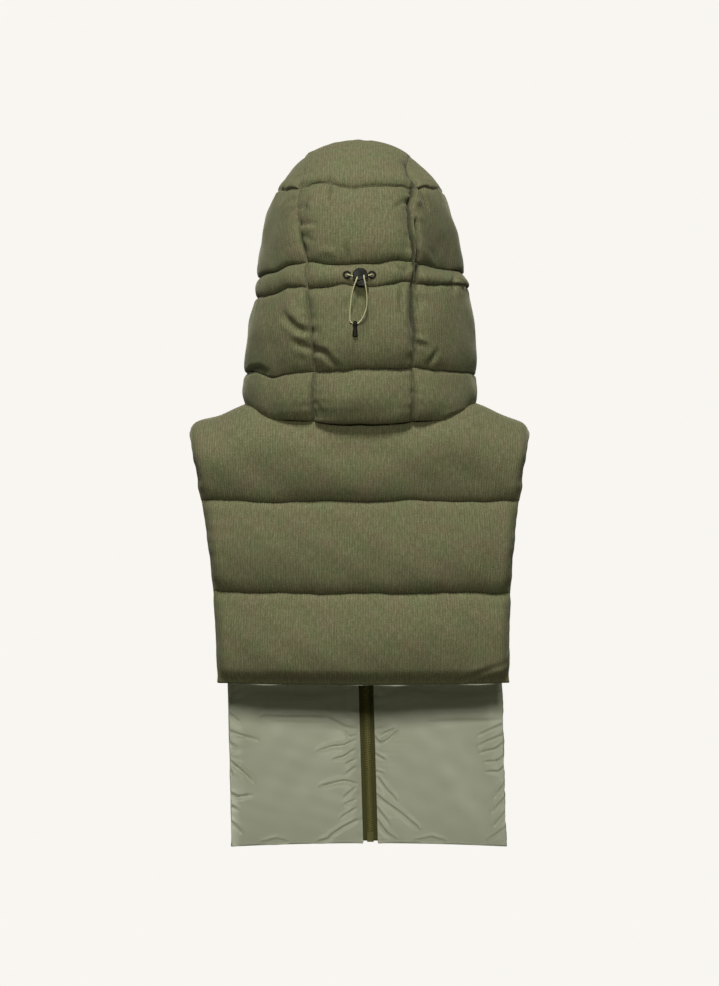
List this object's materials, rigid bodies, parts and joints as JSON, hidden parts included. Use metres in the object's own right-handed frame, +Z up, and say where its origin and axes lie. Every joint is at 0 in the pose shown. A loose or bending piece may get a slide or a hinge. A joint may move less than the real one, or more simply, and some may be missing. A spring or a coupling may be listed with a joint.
{
  "type": "padded hooded bib",
  "caption": "Sleeveless quilted needlecord bib with a deep padded hood, short back, longer zipped front, smooth lining, and a drawcord with a sprung lock behind the head.",
  "frame": {"origin": "middle of the wearer's neck at the height of the shoulders, where the bib hangs", "axes": "+Z up, +Y the way the wearer faces, so the zip is on +Y and the back panel on -Y, +X to the wearer's right"},
  "size_m": [0.4078, 0.2963, 0.8644],
  "materials": {
    "needlecord": "fine ribbed cotton needlecord, soft and matt",
    "lining": "smooth plain-weave nylon with a low sheen",
    "zip_tape": "herringbone woven polyester tape with moulded teeth",
    "black_plastic": "moulded, satin",
    "dark_metal": "gunmetal plating, satin",
    "elastic_cord": "round braided elastic cord"
  },
  "bodies": {
    "garment": {"back_panel": "needlecord", "front_left": "needlecord", "front_right": "needlecord", "hood_gusset": "needlecord", "hood_side_left": "needlecord", "hood_side_right": "needlecord", "back_lining": "lining", "front_lining_left": "lining", "front_lining_right": "lining", "zip_tape_left": "zip_tape", "zip_tape_right": "zip_tape", "zip_box": "black_plastic", "zip_slider": "dark_metal", "eyelet_left": "dark_metal", "eyelet_right": "dark_metal", "drawcord": "elastic_cord", "cord_lock_body": "black_plastic", "cord_end": "black_plastic"},
    "zip_pull": {"zip_pull": "dark_metal"},
    "cord_lock_plunger": {"cord_lock_plunger": "black_plastic"}
  },
  "joints": [
    {"name": "zip_pull_swing", "type": "hinge", "parent": "garment", "child": "zip_pull", "pos_m": [0, 0.13517, 0.0312], "axis": [1, 0, 0], "range_deg": [-8, 160]},
    {"name": "cord_lock_press", "type": "slide", "parent": "garment", "child": "cord_lock_plunger", "axis": [-0.2284, 0, 0.9736], "range_m": [0, 0.0025], "stiffness_N_per_m": 500, "springref_m": -0.002}
  ]
}
